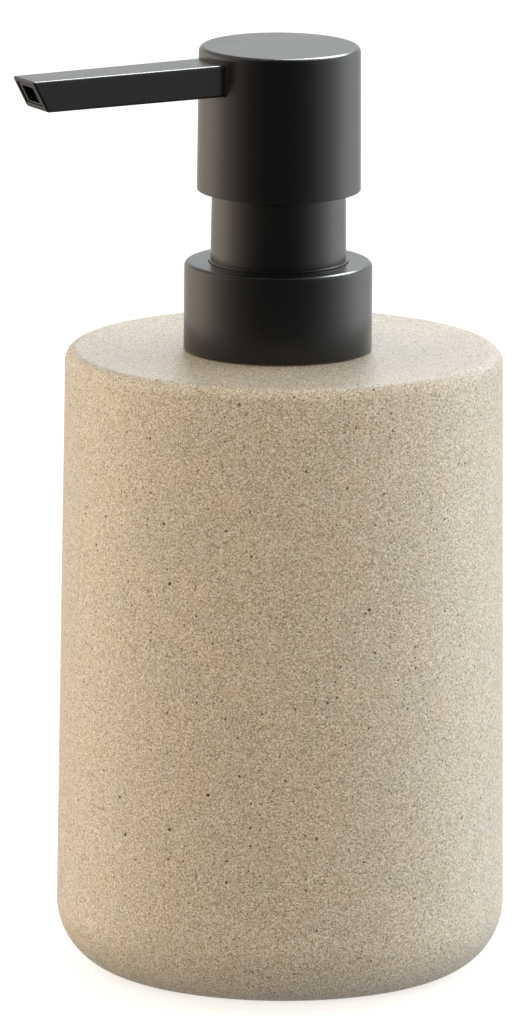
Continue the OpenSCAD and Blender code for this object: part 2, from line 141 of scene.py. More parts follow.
def add(tree, kind, inputs=None, stops=None, **settings):
    """Adds a node. inputs maps a socket's name or number to a value or to another node's output;
    stops are a colour ramp's (position, colour) pairs, of which the first two set the stops that a
    new ramp has; settings are the node's own properties."""
    node = tree.nodes.new("ShaderNode" + kind)
    for key, value in settings.items():
        setattr(node, key, value)
    for key, value in (inputs or {}).items():
        if isinstance(value, bpy.types.NodeSocket):
            tree.links.new(value, node.inputs[key])
        else:
            node.inputs[key].default_value = value
    for i, (position, tone) in enumerate(stops or []):
        stop = node.color_ramp.elements[i] if i < 2 else node.color_ramp.elements.new(position)
        stop.position = position
        stop.color = rgba(tone)
    return node


def material(name):
    """A new material with its node tree and its shader."""
    made = bpy.data.materials.new(name)
    made.use_nodes = True
    return made, made.node_tree, made.node_tree.nodes["Principled BSDF"]


def connect(tree, output, shader, socket):
    """Links an output to one of the shader's sockets."""
    tree.links.new(output, shader.inputs[socket])


def specks(tree, where, spacing, width):
    """Mask of scattered round specks up to "width" across, one to each cell of "spacing"."""
    solid = 0.6    # share of a speck's radius inside its soft rim
    cells = add(tree, "TexVoronoi", {"Vector": where, "Scale": 1 / spacing})
    luck = add(tree, "SeparateColor", {"Color": cells.outputs["Color"]})
    size = add(tree, "Math", {0: luck.outputs["Red"], 1: width / spacing / 2}, operation="MULTIPLY")
    edge = add(tree, "Math", {0: size.outputs[0], 1: solid}, operation="MULTIPLY")
    mask = add(tree, "MapRange", {"Value": cells.outputs["Distance"], "From Min": size.outputs[0],
                                  "From Max": edge.outputs[0]})
    return mask.outputs["Result"]


def mix(tree, factor, first, second, how="MIX"):
    """Colour between two others. 6, 7 and 2 are the node's colour sockets, which share their names
    with its other sockets."""
    return add(tree, "Mix", {0: factor, 6: first, 7: second}, data_type="RGBA",
               blend_type=how).outputs[2]


# ---------------------------------------------------------------- materials

def cast_stone_resin(look):
    """Polyester resin filled with quartz sand, cast and blasted matt.

    To the eye: salt-and-pepper grain of pale quartz and tan sand, soft clouds where the filler
    settled unevenly, black grains of many sizes, and no highlight but a grey shine across the top,
    where the eye grazes it.
    """
    made, tree, shader = material("cast_stone_resin_blasted")
    where = add(tree, "TexCoord").outputs["Object"]
    grains = add(tree, "TexVoronoi", {"Vector": where, "Scale": 1 / look.grain_width})
    luck = add(tree, "SeparateColor", {"Color": grains.outputs["Color"]})
    clumps = add(tree, "TexNoise", {"Vector": where, "Scale": 1 / look.clump_width, "Detail": 2.0})
    level = mix(tree, look.clumping, luck.outputs["Red"], clumps.outputs["Fac"])
    # levels are spread about evenly, so 3 grains in 10 are plain sand and 1 in 7 plain quartz
    tone = add(tree, "ValToRGB", {"Fac": level}, stops=[
        (0.0, look.shade), (0.85, look.quartz), (0.3, look.sand), (0.6, look.sand)])
    clouds = add(tree, "TexNoise", {"Vector": where, "Scale": 1 / look.cloud_width, "Detail": 3.0})
    tint = add(tree, "ValToRGB", {"Fac": clouds.outputs["Color"]}, stops=[
        (0.38, look.cool_cloud), (0.62, look.warm_cloud)])
    body = mix(tree, look.cloud_strength, tone.outputs["Color"], tint.outputs["Color"], "MULTIPLY")
    body = mix(tree, specks(tree, where, look.fleck_spacing, look.fleck_width), body,
               rgba(look.fleck))
    body = mix(tree, specks(tree, where, look.grit_spacing, look.grit_width), body,
               rgba(look.grit))
    bump = add(tree, "Bump", {"Height": level, "Strength": 0.25, "Distance": 0.05 * MM})
    connect(tree, body, shader, "Base Color")
    connect(tree, bump.outputs["Normal"], shader, "Normal")
    shader.inputs["Roughness"].default_value = look.roughness
    shader.inputs["IOR"].default_value = 1.53
    shader.inputs["Specular IOR Level"].default_value = look.shine
    return made


def satin_black_lacquer(look):
    """Moulded ABS sprayed with satin black lacquer.

    To the eye: near black face on, with wide soft highlights that go grey where it turns away,
    and an orange peel that only a close look shows.
    """
    cloud_width = 9 * MM      # a drift of thinner lacquer
    unevenness = 0.02         # of the roughness, either way
    made, tree, shader = material("abs_satin_black_lacquered")
    where = add(tree, "TexCoord").outputs["Object"]
    cloud = add(tree, "TexNoise", {"Vector": where, "Scale": 1 / cloud_width, "Detail": 2.0})
    peel = add(tree, "TexNoise", {"Vector": where, "Scale": 1 / look.peel_width, "Detail": 2.0})
    body = mix(tree, cloud.outputs["Fac"], rgba(look.black), rgba(look.worn_black))
    gloss = add(tree, "MapRange", {"Value": cloud.outputs["Fac"], **NOISE_RANGE,
                                   "To Min": look.roughness - unevenness,
                                   "To Max": look.roughness + unevenness})
    bump = add(tree, "Bump", {"Height": peel.outputs["Fac"], "Strength": 0.04,
                              "Distance": 0.02 * MM})
    connect(tree, body, shader, "Base Color")
    connect(tree, gloss.outputs["Result"], shader, "Roughness")
    connect(tree, bump.outputs["Normal"], shader, "Normal")
    shader.inputs["IOR"].default_value = 1.5
    return made


def moulded_polypropylene():
    """Natural polypropylene, injection moulded.

    To the eye: milky off-white that lets a little light in, waxy, with faint flow marks.
    """
    flow_width = 5 * MM    # a flow mark
    made, tree, shader = material("polypropylene_moulded")
    where = add(tree, "TexCoord").outputs["Object"]
    flow = add(tree, "TexNoise", {"Vector": where, "Scale": 1 / flow_width, "Detail": 3.0})
    body = mix(tree, flow.outputs["Fac"], rgba(linear("#e4e1d8")), rgba(linear("#efede7")))
    bump = add(tree, "Bump", {"Height": flow.outputs["Fac"], "Strength": 0.1,
                              "Distance": 0.05 * MM})
    connect(tree, body, shader, "Base Color")
    connect(tree, bump.outputs["Normal"], shader, "Normal")
    shader.inputs["Roughness"].default_value = 0.38
    shader.inputs["IOR"].default_value = 1.49
    shader.inputs["Subsurface Weight"].default_value = 0.2
    shader.inputs["Subsurface Radius"].default_value = (1.5 * MM, 1.4 * MM, 1.2 * MM)
    shader.inputs["Subsurface Scale"].default_value = 1.0
    return made


def moulded_elastomer():
    """Thermoplastic elastomer, moulded in a spark-eroded tool.

    To the eye: dark grey and dull, with a fine even grain that scatters every highlight.
    """
    # A spark-eroded grain is too fine to show, so it is drawn as coarse as it has to be to show.
    grain_width = 0.5 * MM
    made, tree, shader = material("elastomer_moulded")
    where = add(tree, "TexCoord").outputs["Object"]
    grain = add(tree, "TexNoise", {"Vector": where, "Scale": 1 / grain_width, "Detail": 3.0})
    body = mix(tree, grain.outputs["Fac"], rgba(linear("#2f3033")), rgba(linear("#3d3e41")))
    bump = add(tree, "Bump", {"Height": grain.outputs["Fac"], "Strength": 0.4,
                              "Distance": 0.05 * MM})
    connect(tree, body, shader, "Base Color")
    connect(tree, bump.outputs["Normal"], shader, "Normal")
    shader.inputs["Roughness"].default_value = 0.72
    shader.inputs["IOR"].default_value = 1.52
    return made


def drawn_stainless_steel():
    """Stainless steel, drawn to wire and ground to balls.

    To the eye: bright neutral metal with a soft, slightly uneven shine.
    """
    # Drawing and grinding marks are too fine to show, so they are drawn as coarse as they have to
    # be to show.
    mark_width = 0.6 * MM
    made, tree, shader = material("stainless_steel_drawn")
    where = add(tree, "TexCoord").outputs["Object"]
    marks = add(tree, "TexNoise", {"Vector": where, "Scale": 1 / mark_width, "Detail": 4.0})
    body = mix(tree, marks.outputs["Fac"], rgba(linear("#b4b6b8")), rgba(linear("#c9cacb")))
    gloss = add(tree, "MapRange", {"Value": marks.outputs["Fac"], **NOISE_RANGE,
                                   "To Min": 0.2, "To Max": 0.34})
    connect(tree, body, shader, "Base Color")
    connect(tree, gloss.outputs["Result"], shader, "Roughness")
    shader.inputs["Metallic"].default_value = 1.0
    return made


finishes = {}


def finish_of(slot):
    """The material for one of the record's slots, made once."""
    scene = bpy.context.scene
    makers = {
        "cast_resin": lambda: cast_stone_resin(scene.pump_resin_look),
        "black_plastic": lambda: satin_black_lacquer(scene.pump_lacquer_look),
        "natural_plastic": moulded_polypropylene,
        "seal_rubber": moulded_elastomer,
        "steel": drawn_stainless_steel,
    }
    if slot not in finishes:
        finishes[slot] = makers[slot]()
    return finishes[slot]


# ---------------------------------------------------------------- meshes

def skin(name, rings, closed=False):
    """Mesh over a row of rings with the same number of points each. A ring of one point closes the
    form there, any other end gets a flat face, and "closed" joins the last ring to the first."""
    count = max(len(ring) for ring in rings)
    starts = [sum(len(ring) for ring in rings[:i]) for i in range(len(rings))]
    pairs = [(i, i + 1) for i in range(len(rings) - 1)]
    if closed:
        pairs.append((len(rings) - 1, 0))
    faces = []
    for a, b in pairs:
        for k in range(count):
            corners = [starts[i] + j % len(rings[i])
                       for i, j in ((a, k), (a, (k + 1) % count), (b, (k + 1) % count), (b, k))]
            faces.append(list(dict.fromkeys(corners)))
    for end, order in ((0, -1), (len(rings) - 1, 1)):
        if not closed and len(rings[end]) > 1:
            faces.append([starts[end] + k for k in range(count)][::order])
    mesh = bpy.data.meshes.new(name)
    mesh.from_pydata([point for ring in rings for point in ring], [], faces)
    if mesh.validate():
        raise RuntimeError(f"the mesh of {name} has faulty faces")
    mesh.shade_smooth()
    mesh.set_sharp_from_angle(angle=math.radians(CREASE))
    return mesh


def rounded(corners, steps=10):
    """Outline through (across, up, radius) corners, each one rounded with an arc of its radius."""
    outline = []
    for i, (across, up, radius) in enumerate(corners):
        here = Vector((across, up))
        if not radius:
            outline.append(here)
            continue
        back = (Vector(corners[i - 1][:2]) - here).normalized()
        on = (Vector(corners[(i + 1) % len(corners)][:2]) - here).normalized()
        half = back.angle(on) / 2
        centre = here + (back + on).normalized() * radius / math.sin(half)
        start = here + back * radius / math.tan(half) - centre
        end = here + on * radius / math.tan(half) - centre
        sweep = math.pi - 2 * half
        for step in range(steps + 1):
            t = sweep * step / steps
            outline.append(centre + (start * math.sin(sweep - t) + end * math.sin(t))
                           / math.sin(sweep))
    return outline


def turned(outline, centre, around):
    """Rings that turn an outline of (radius, height) about an upright axis at x = centre."""
    rings = []
    for radius, height in outline:
        points = around if radius > ON_AXIS else 1
        rings.append([Vector((centre + radius * math.cos(FULL_TURN * k / points),
                              radius * math.sin(FULL_TURN * k / points), height))
                      for k in range(points)])
    return rings


def place(name, mesh, slot, body, *nodes):
    """Puts a mesh in the scene with its finish, rides it on its body and hides the nodes that it
    stands for."""
    piece = bpy.data.objects.new(name, mesh)
    bpy.context.scene.collection.objects.link(piece)
    mesh.materials.append(finish_of(slot))
    even = piece.modifiers.new("even_shading", "WEIGHTED_NORMAL")
    even.keep_sharp = True
    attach(piece, body)
    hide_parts(*nodes)
    return piece


def node_size(node):
    """Centre across, half width, foot and top of a CAD node."""
    low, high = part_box(node)
    return (low.x + high.x) / 2, (high.x - low.x) / 2, low.z, high.z


# ---------------------------------------------------------------- what a user can change

class ResinLook(bpy.types.PropertyGroup):
    """Finish of the cast bottle."""
    sand: colour("Sand", "Colour of the middling grains", "#d9ccb2")
    quartz: colour("Quartz", "Colour of the palest grains", "#fffcf4")
    shade: colour("Shade", "Colour of the darkest common grains", "#6b5a45")
    warm_cloud: colour("Warm cloud", "Tint where more tan sand settled", "#fff0e2")
    cool_cloud: colour("Cool cloud", "Tint where more grey sand settled", "#ece9e2")
    fleck: colour("Fleck", "Colour of the small dark grains", "#463c31")
    grit: colour("Grit", "Colour of the few large grains", "#1c1916")
    cloud_strength: share("Cloud strength", "How much the clouds tint the filler", 0.4)
    grain_width: length("Grain width", "Width of one sand grain", 0.18, 0.1, 2)
    clump_width: length("Clump width", "Width of a clump of like grains", 1.1, 0.3, 5)
    clumping: share("Clumping", "How much like grains keep together", 0.08)
    cloud_width: length("Cloud width", "Width of a cloud in the filler", 7, 1, 40)
    fleck_spacing: length("Fleck spacing", "Cell that holds one small dark grain", 1.7, 0.5, 20)
    fleck_width: length("Fleck width", "Width of the largest small dark grain", 0.6, 0.1, 2)
    grit_spacing: length("Grit spacing", "Cell that holds one large grain", 4.2, 2, 60)
    grit_width: length("Grit width", "Width of the largest grain", 0.8, 0.1, 3)
    roughness: share("Roughness", "Roughness of the blasted face", 0.5)
    shine: share("Shine", "How much the blasted face shines where the eye grazes it", 0.75)


class LacquerLook(bpy.types.PropertyGroup):
    """Finish of the black outer pieces of the pump."""
    black: colour("Black", "Colour of the lacquer", "#0e0e0f")
    worn_black: colour("Thin black", "Colour where the lacquer lies thinner", "#121212")
    peel_width: length("Peel width", "Width of one dimple of the orange peel", 0.9, 0.2, 5)
    roughness: share("Roughness", "Roughness of the lacquer", 0.27)


class BottleShape(bpy.types.PropertyGroup):
    """Sizes of the bottle that its box in the frame doesn't give."""
    base_corner: length("Base corner", "Radius between base and side", 12.4, 2, 30)
    shoulder: length("Shoulder", "Radius between side and top", 2.2, 0.2, 20)
    side_taper: length("Side taper", "How much narrower the radius is at the top", 1.15, 0, 10)
    wall: length("Wall", "Thickness of the side", 5, 1, 15)
    floor: length("Floor", "Thickness of the floor", 6, 1, 15)
    roof: length("Roof", "Thickness of the roof", 7, 1, 15)
    cavity_corner: length("Cavity corner", "Radius between floor and wall inside", 8, 1, 20)
    mouth: length("Mouth", "Width of the mouth under the neck's flange", 26.6, 10, 60)
    seat: length("Seat", "Depth of the step for the neck's flange", 1.5, 0.5, 5)
    glue_gap: length("Glue gap", "Radial gap round a glued piece", 0.1, 0, 1)
    pad_edge: length("Pad edge", "Radius of the base pad's edge", 0.3, 0, 0.7)
    around: IntProperty(name="Steps round", description="Faces round the bottle", default=288,
                        min=24)


class PumpShape(bpy.types.PropertyGroup):
    """Sizes of the pump's outer pieces that their boxes in the frame don't give."""
    shell: length("Shell", "Wall of the collar's and the head's shell", 1, 0.3, 5)
    collar_edge: length("Collar edge", "Radius of the collar's upper edge", 0.9, 0.1, 5)
    groove: length("Groove", "Width of the groove between collar and sleeve", 0.3, 0.1, 3)
    bead: length("Bead", "Height of the sleeve's bead that covers the groove", 0.3, 0.1, 2)
    sleeve_foot: length("Sleeve foot", "Thickness of the sleeve's foot flange", 0.8, 0.2, 3)
    sleeve_width: length("Sleeve width", "Width of the sleeve above its foot", 24.1, 5, 60)
    sleeve_taper: length("Sleeve taper", "How much narrower the radius is at the top", 0.2, 0, 3)
    sleeve_bore: length("Sleeve bore", "Bore of the sleeve", 21.8, 5, 60)
    sleeve_roof: length("Sleeve roof", "Thickness of the sleeve's top plate", 1.2, 0.2, 5)
    sleeve_mouth: length("Sleeve mouth", "Hole in the sleeve's top plate", 12.6, 2, 40)
    head_roof: length("Head roof", "Thickness of the head's top", 1.3, 0.3, 5)
    head_edge: length("Head edge", "Radius of the head's upper edge", 1, 0.1, 5)
    head_taper: length("Head taper", "How much narrower the radius is at the top", 0.2, 0, 3)
    rim: length("Rim", "Radius of the rims that would otherwise be sharp", 0.2, 0.02, 0.4)
    around: IntProperty(name="Steps round", description="Faces round the pump", default=192, min=24)


class SpoutShape(bpy.types.PropertyGroup):
    """Sizes of the spout."""
    root_width: length("Root width", "Width inside the head", 9.1, 2, 40)
    tip_width: length("Tip width", "Width at the tip", 7.9, 2, 40)
    cut_back: length("Cut back", "How far the lower edge of the tip stands back", 3, 0, 20)
    edge: length("Edge", "Radius of the long edges", 0.55, 0.05, 2)
    tip_edge: length("Tip edge", "Radius of the edges round the tip", 0.45, 0.05, 2)
    root_fillet: length("Root fillet", "Radius of the hollow fillet at the head", 1, 0.1, 3)
    wall: length("Wall", "Wall of the spout", 1, 0.3, 3)
    channel_width: length("Channel width", "Width of the soap channel", 3.8, 1, 20)
    channel_height: length("Channel height", "Height of the soap channel", 2.8, 1, 20)
    liner_gap: length("Liner gap", "Gap between spout and liner", 0.03, 0, 0.5)
    corner_steps: IntProperty(name="Corner steps", description="Faces in each long edge",
                              default=6, min=1)


class SpringShape(bpy.types.PropertyGroup):
    """Sizes of the return spring."""
    wire: length("Wire", "Diameter of the wire", 0.9, 0.2, 3)
    turns: IntProperty(name="Turns", description="Number of turns", default=8, min=3)
    steps: IntProperty(name="Steps per turn", description="Rings of points in one turn",
                       default=48, min=12)
    sides: IntProperty(name="Sides", description="Points in one ring", default=14, min=6)


class Studio(bpy.types.PropertyGroup):
    """Camera and light."""
    azimuth: FloatProperty(name="Azimuth", description="Where the camera stands; 0 looks along +Y",
                           default=-29.5)
    elevation: FloatProperty(name="Elevation", description="How far the camera looks down",
                             default=11.735)
    roll: FloatProperty(name="Roll", description="Turn of the camera about its own axis",
                        default=0.422)
    distance: length("Distance", "From the camera to the point that it looks at", 2792, 300, 20000)
    lens: FloatProperty(name="Lens", description="Focal length in millimetres on a 36 mm sensor",
                        default=551.8, min=10)
    aim_side: length("Aim sideways", "Where the camera looks, to its right of the bottle's axis",
                     -4.136, -500, 500)
    aim_height: length("Aim height", "Height that the camera looks at", 82.63, 0, 1000)
    tent: share("Tent", "Brightness of the light tent behind and beside the object", 1.07, 10)
    key: share("Key", "Brightness of the soft light above the camera", 5.7, 50)
    strip: share("Strip", "Brightness of the high light behind, which shines in the black edges",
                 26.0, 50)
    back: share("Back", "Brightness of the low light behind, which shines in the bottle's top",
                6.2, 50)
    warm: colour("Warm light", "Colour of the light from the left", "#f9ead7")
    cool: colour("Neutral light", "Colour of the light from the right", "#fcffff")
    floor: colour("Floor", "Colour of the floor", "#e6e6e4")


# ---------------------------------------------------------------- pieces

class PUMP_OT_resin_bottle(bpy.types.Operator):
    """Cast resin bottle: rounded base, slightly tapered side, crisp shoulder and flat top"""
    bl_idname = "soap_pump.resin_bottle"
    bl_label = "Resin bottle"

    def execute(self, context):
        shape = context.scene.pump_bottle_shape
        _, half_width, foot, top = node_size("bottle")
        mouth_x, flange, _, _ = node_size("neck_insert")
        _, pad, _, pad_top = node_size("base_pad")
        slope = math.atan(shape.side_taper / top)
        widest = foot + shape.base_corner
        foot_radius = half_width + widest * math.tan(slope)

        def side(height, inset=0.0):
            return foot_radius - inset - height * math.tan(slope)

        ceiling, ground = top - shape.roof, foot + shape.floor
        # The mouth has an axis of its own, so its points take the place of the last point outside
        # and the first one inside.
        outside = rounded([
            (pad + shape.glue_gap, foot, 0),
            (side(foot), foot, shape.base_corner),
            (side(top), top, shape.shoulder),
            (flange + shape.glue_gap, top, 0)], steps=20)[:-1]
        mouth = [(flange + shape.glue_gap, top), (flange + shape.glue_gap, top - shape.seat),
                 (shape.mouth / 2, top - shape.seat), (shape.mouth / 2, ceiling)]
        inside = rounded([
            (shape.mouth / 2, ceiling, 0),
            (side(ceiling, shape.wall), ceiling, shape.cavity_corner / 2),
            (side(ground, shape.wall), ground, shape.cavity_corner),
            (0, ground, 0)], steps=12)[1:]
        recess = [(0, pad_top), (pad + shape.glue_gap, pad_top)]
        rings = turned(recess + outside, 0, shape.around)
        rings += turned(mouth, mouth_x, shape.around) + turned(inside, 0, shape.around)
        place("resin_bottle", skin("resin_bottle", rings), "cast_resin", "bottle", "bottle")
        return {"FINISHED"}


class PUMP_OT_base_pad(bpy.types.Operator):
    """Round pad under the bottle, with a softened edge"""
    bl_idname = "soap_pump.base_pad"
    bl_label = "Base pad"

    def execute(self, context):
        shape = context.scene.pump_bottle_shape
        centre, radius, foot, top = node_size("base_pad")
        outline = rounded([(0, foot, 0), (radius, foot, shape.pad_edge), (radius, top, 0),
                           (0, top, 0)], steps=6)
        mesh = skin("non_slip_pad", turned(outline, centre, shape.around // 2))
        place("non_slip_pad", mesh, "seal_rubber", "bottle", "base_pad")
        return {"FINISHED"}


class PUMP_OT_collar(bpy.types.Operator):
    """Black collar and the fixed sleeve that stands in it"""
    bl_idname = "soap_pump.collar"
    bl_label = "Collar and sleeve"

    def execute(self, context):
        shape = context.scene.pump_shape
        centre, radius, foot, collar_top = node_size("collar_shell")
        _, sleeve_foot_radius, sleeve_foot, sleeve_top = node_size("neck_sleeve")
        sleeve = shape.sleeve_width / 2
        hole = sleeve + shape.groove
        roof = sleeve_foot + shape.sleeve_foot
        inner = radius - shape.shell
        rim = shape.rim
        outline = rounded([
            (inner, foot, rim), (radius, foot, rim), (radius, collar_top, shape.collar_edge),
            (hole, collar_top, rim), (hole, roof, 0), (inner, roof, 0)])
        mesh = skin("collar", turned(outline, centre, shape.around), closed=True)
        place("collar", mesh, "black_plastic", "collar", "collar_shell")

        outline = rounded([
            (shape.sleeve_bore / 2, sleeve_foot, 0), (sleeve_foot_radius, sleeve_foot, 0),
            (sleeve_foot_radius, roof, rim), (sleeve, roof, 0),
            (sleeve, collar_top, 0), (sleeve + shape.groove, collar_top, 0),
            (sleeve + shape.groove, collar_top + shape.bead, shape.bead / 2),
            (sleeve, collar_top + shape.bead, 0),
            (sleeve - shape.sleeve_taper, sleeve_top, 2 * rim),
            (shape.sleeve_mouth / 2, sleeve_top, rim),
            (shape.sleeve_mouth / 2, sleeve_top - shape.sleeve_roof, 0),
            (shape.sleeve_bore / 2, sleeve_top - shape.sleeve_roof, 0)])
        mesh = skin("sleeve", turned(outline, centre, shape.around), closed=True)
        place("sleeve", mesh, "black_plastic", "collar", "neck_sleeve")
        return {"FINISHED"}


class PUMP_OT_head(bpy.types.Operator):
    """Black cap that the hand presses, with the window that the spout comes out of"""
    bl_idname = "soap_pump.head"
    bl_label = "Head"

    def execute(self, context):
        shape = context.scene.pump_shape
        centre, radius, foot, top = node_size("head_shell")
        top_radius = radius - shape.head_taper
        inner, inner_top = radius - shape.shell, top_radius - shape.shell
        roof = top - shape.head_roof
        spout_low, spout_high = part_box("spout")
        # A ring of points under the window, so that cutting it leaves the wall below whole.
        below = spout_low.z - 2 * shape.shell
        part_way = (below - foot) / (top - foot)
        outline = rounded([
            (0, roof, 0), (inner_top, roof, shape.rim),
            (inner + (inner_top - inner) * part_way, below, 0), (inner, foot, shape.rim),
            (radius, foot, shape.rim), (radius + (top_radius - radius) * part_way, below, 0),
            (top_radius, top, shape.head_edge), (0, top, 0)])
        head = place("head_cap", skin("head_cap", turned(outline, centre, shape.around)),
                     "black_plastic", "head", "head_shell")

        half = context.scene.pump_spout_shape.root_width / 2
        tool = skin("window_tool", [
            [Vector((x, y, z)) for y, z in ((-half, spout_low.z), (half, spout_low.z),
                                            (half, spout_high.z), (-half, spout_high.z))]
            for x in (spout_low.x, centre - inner_top + shape.shell)])
        cutter = bpy.data.objects.new("window_tool", tool)
        context.scene.collection.objects.link(cutter)
        window = head.modifiers.new("window", "BOOLEAN")
        window.object = cutter
        window.solver = "EXACT"
        head.modifiers.move(len(head.modifiers) - 1, 0)    # before the shading is evened
        cut = bpy.data.meshes.new_from_object(head.evaluated_get(context.evaluated_depsgraph_get()))
        cut.set_sharp_from_angle(angle=math.radians(CREASE))
        head.modifiers.clear()
        bpy.data.objects.remove(cutter)
        head.data = cut
        # The cut leaves long thin faces round the window, which would shade as dents. So the
        # outer wall's faces, apart from its rounded rims, get the normals of a round wall.
        steepest = 0.1    # upward part of the normal of a face that still counts as wall
        normals = [corner.vector.copy() for corner in cut.corner_normals]
        for face in cut.polygons:
            out = face.center - Vector((centre, 0, face.center.z))
            if out.length < inner or abs(face.normal.z) > steepest:
                continue
            for loop in face.loop_indices:
                at = cut.vertices[cut.loops[loop].vertex_index].co - Vector((centre, 0, 0))
                if foot + shape.rim < at.z < top - shape.head_edge:
                    normals[loop] = Vector((at.x, at.y, 0)).normalized()
        cut.normals_split_custom_set(normals)
        return {"FINISHED"}


def square_ring(width_at, half_height, middle, corner, steps, plane):
    """Ring round the spout: a rounded rectangle with its x from plane(y, z) and its half width
    from width_at(x)."""
    ring = []
    for side, up, turn in ((1, 1, 0), (-1, 1, 1), (-1, -1, 2), (1, -1, 3)):
        for step in range(steps + 1):
            angle = math.pi / 2 * (turn + step / steps)
            z = middle + up * (half_height - corner) + corner * math.sin(angle)
            x = plane(side * width_at(plane(0, z)), z)
            y = side * (width_at(x) - corner) + corner * math.cos(angle)
            ring.append(Vector((plane(y, z), y, z)))
    return ring


class PUMP_OT_spout(bpy.types.Operator):
    """Flat tapered spout with its slanted tip and hollow root fillet, and the liner inside it"""
    bl_idname = "soap_pump.spout"
    bl_label = "Spout and liner"

    def execute(self, context):
        shape, pump = context.scene.pump_spout_shape, context.scene.pump_shape
        axis, head_radius, _, _ = node_size("head_shell")
        low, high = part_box("spout")
        liner_low, liner_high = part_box("spout_liner")
        skin_radius = head_radius - pump.head_taper
        half_height, middle = (high.z - low.z) / 2, (high.z + low.z) / 2
        root_x, reach = high.x, low.x
        least_corner = 0.08 * MM      # the walls' inner edges stay at least this round
        channel_corner = 0.25 * MM
        sunk = 0.02 * MM              # how far the fillet reaches into the head, so no gap shows
        arc = 8                       # faces across each small round
        quarter = [math.pi / 2 * step / arc for step in range(arc + 1)]

        def half_width(x, inset=0.0):
            t = (root_x - x) / (root_x - reach)
            return (shape.root_width + (shape.tip_width - shape.root_width) * t) / 2 - inset

        def tip(back):
            return lambda y, z: reach + back + shape.cut_back * (high.z - z) / (2 * half_height)

        def root(y, z):
            return root_x

        def wall(out):
            return lambda y, z: axis - math.sqrt(max(skin_radius ** 2 - y * y, 0)) - out

        def ring(plane, inset, flare=0.0):
            return square_ring(lambda x: half_width(x, inset) + flare, half_height - inset, middle,
                               max(shape.edge - inset, least_corner), shape.corner_steps,
                               plane)

        fillet, bevel = shape.root_fillet, shape.tip_edge
        rings = [ring(root, 0), ring(wall(-pump.shell / 2), 0)]
        for turn in quarter:
            rings.append(ring(wall(fillet * (1 - math.cos(turn)) - sunk), 0,
                              flare=fillet * (1 - math.sin(turn))))
        for turn in quarter:
            rings.append(ring(tip(bevel * (1 - math.sin(turn))), bevel * (1 - math.cos(turn))))
        rim = bevel / 2
        for turn in quarter:
            rings.append(ring(tip(rim * (1 - math.cos(turn))),
                              shape.wall - rim * (1 - math.sin(turn))))
        rings.append(ring(root, shape.wall))
        place("spout_tube", skin("spout_tube", rings, closed=True), "black_plastic", "head",
              "spout")

        inset = shape.wall + shape.liner_gap
        rings = [ring(root, inset)]
        liner_back = liner_low.x - tip(0)(0, liner_high.z)
        for turn in quarter:
            rings.append(ring(tip(liner_back + rim * (1 - math.sin(turn))),
                              inset + rim * (1 - math.cos(turn))))

        def channel(plane, grow):
            return square_ring(lambda x: shape.channel_width / 2 + grow,
                               shape.channel_height / 2 + grow, middle, channel_corner + grow,
                               shape.corner_steps, plane)

        for turn in quarter:
            rings.append(channel(tip(liner_back + rim * (1 - math.cos(turn))),
                                 rim * (1 - math.sin(turn))))
        rings.append(channel(root, 0))
        place("spout_channel", skin("spout_channel", rings, closed=True), "black_plastic", "head",
              "spout_liner")
        return {"FINISHED"}


class PUMP_OT_spring(bpy.types.Operator):
    """Round-wire return spring that the head squeezes"""
    bl_idname = "soap_pump.spring"
    bl_label = "Return spring"

    def execute(self, context):
        shape = context.scene.pump_spring_shape
        centre, outer, foot, top = node_size("return_spring")
        half = shape.wire / 2
        coil = outer - half
        closed = 1.1 * shape.wire    # rise of an end turn, which nearly touches the next
        rise = top - foot - shape.wire

        def height(turn):
            end = min(turn, shape.turns - turn)
            if end < 1:
                return end * closed if turn < shape.turns / 2 else rise - end * closed
            return closed + (rise - 2 * closed) * (turn - 1) / (shape.turns - 2)

        up = Vector((0, 0, 1))
        rings = []
        for step in range(shape.turns * shape.steps + 1):
            turn = step / shape.steps
            angle = FULL_TURN * turn
            out = Vector((math.cos(angle), math.sin(angle), 0))
            middle = Vector((centre, 0, foot + half + height(turn))) + coil * out
            rings.append([middle + half * (out * math.cos(FULL_TURN * k / shape.sides)
                                           + up * math.sin(FULL_TURN * k / shape.sides))
                          for k in range(shape.sides)])
        spring = place("coil_spring", skin("coil_spring", rings), "steel", "pump", "return_spring")
        spring.modifiers.clear()
        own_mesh(spring)
        return {"FINISHED"}


class PUMP_OT_inner_parts(bpy.types.Operator):
    """Finishes for the moulded, rubber and steel parts inside the pump"""
    bl_idname = "soap_pump.inner_parts"
    bl_label = "Inner parts"

    def execute(self, context):
        for part in frame["record"]["subparts"]:
            node = frame["nodes"][part["node"]]
            if not node.hide_render:
                node.data.materials.clear()
                node.data.materials.append(finish_of(part["material_slot"]))
        return {"FINISHED"}


# ---------------------------------------------------------------- stage

def camera_axes(studio):
    """Level directions towards the camera and to its right."""
    angle = math.radians(studio.azimuth)
    return (Vector((math.sin(angle), -math.cos(angle), 0)),
            Vector((math.cos(angle), math.sin(angle), 0)))


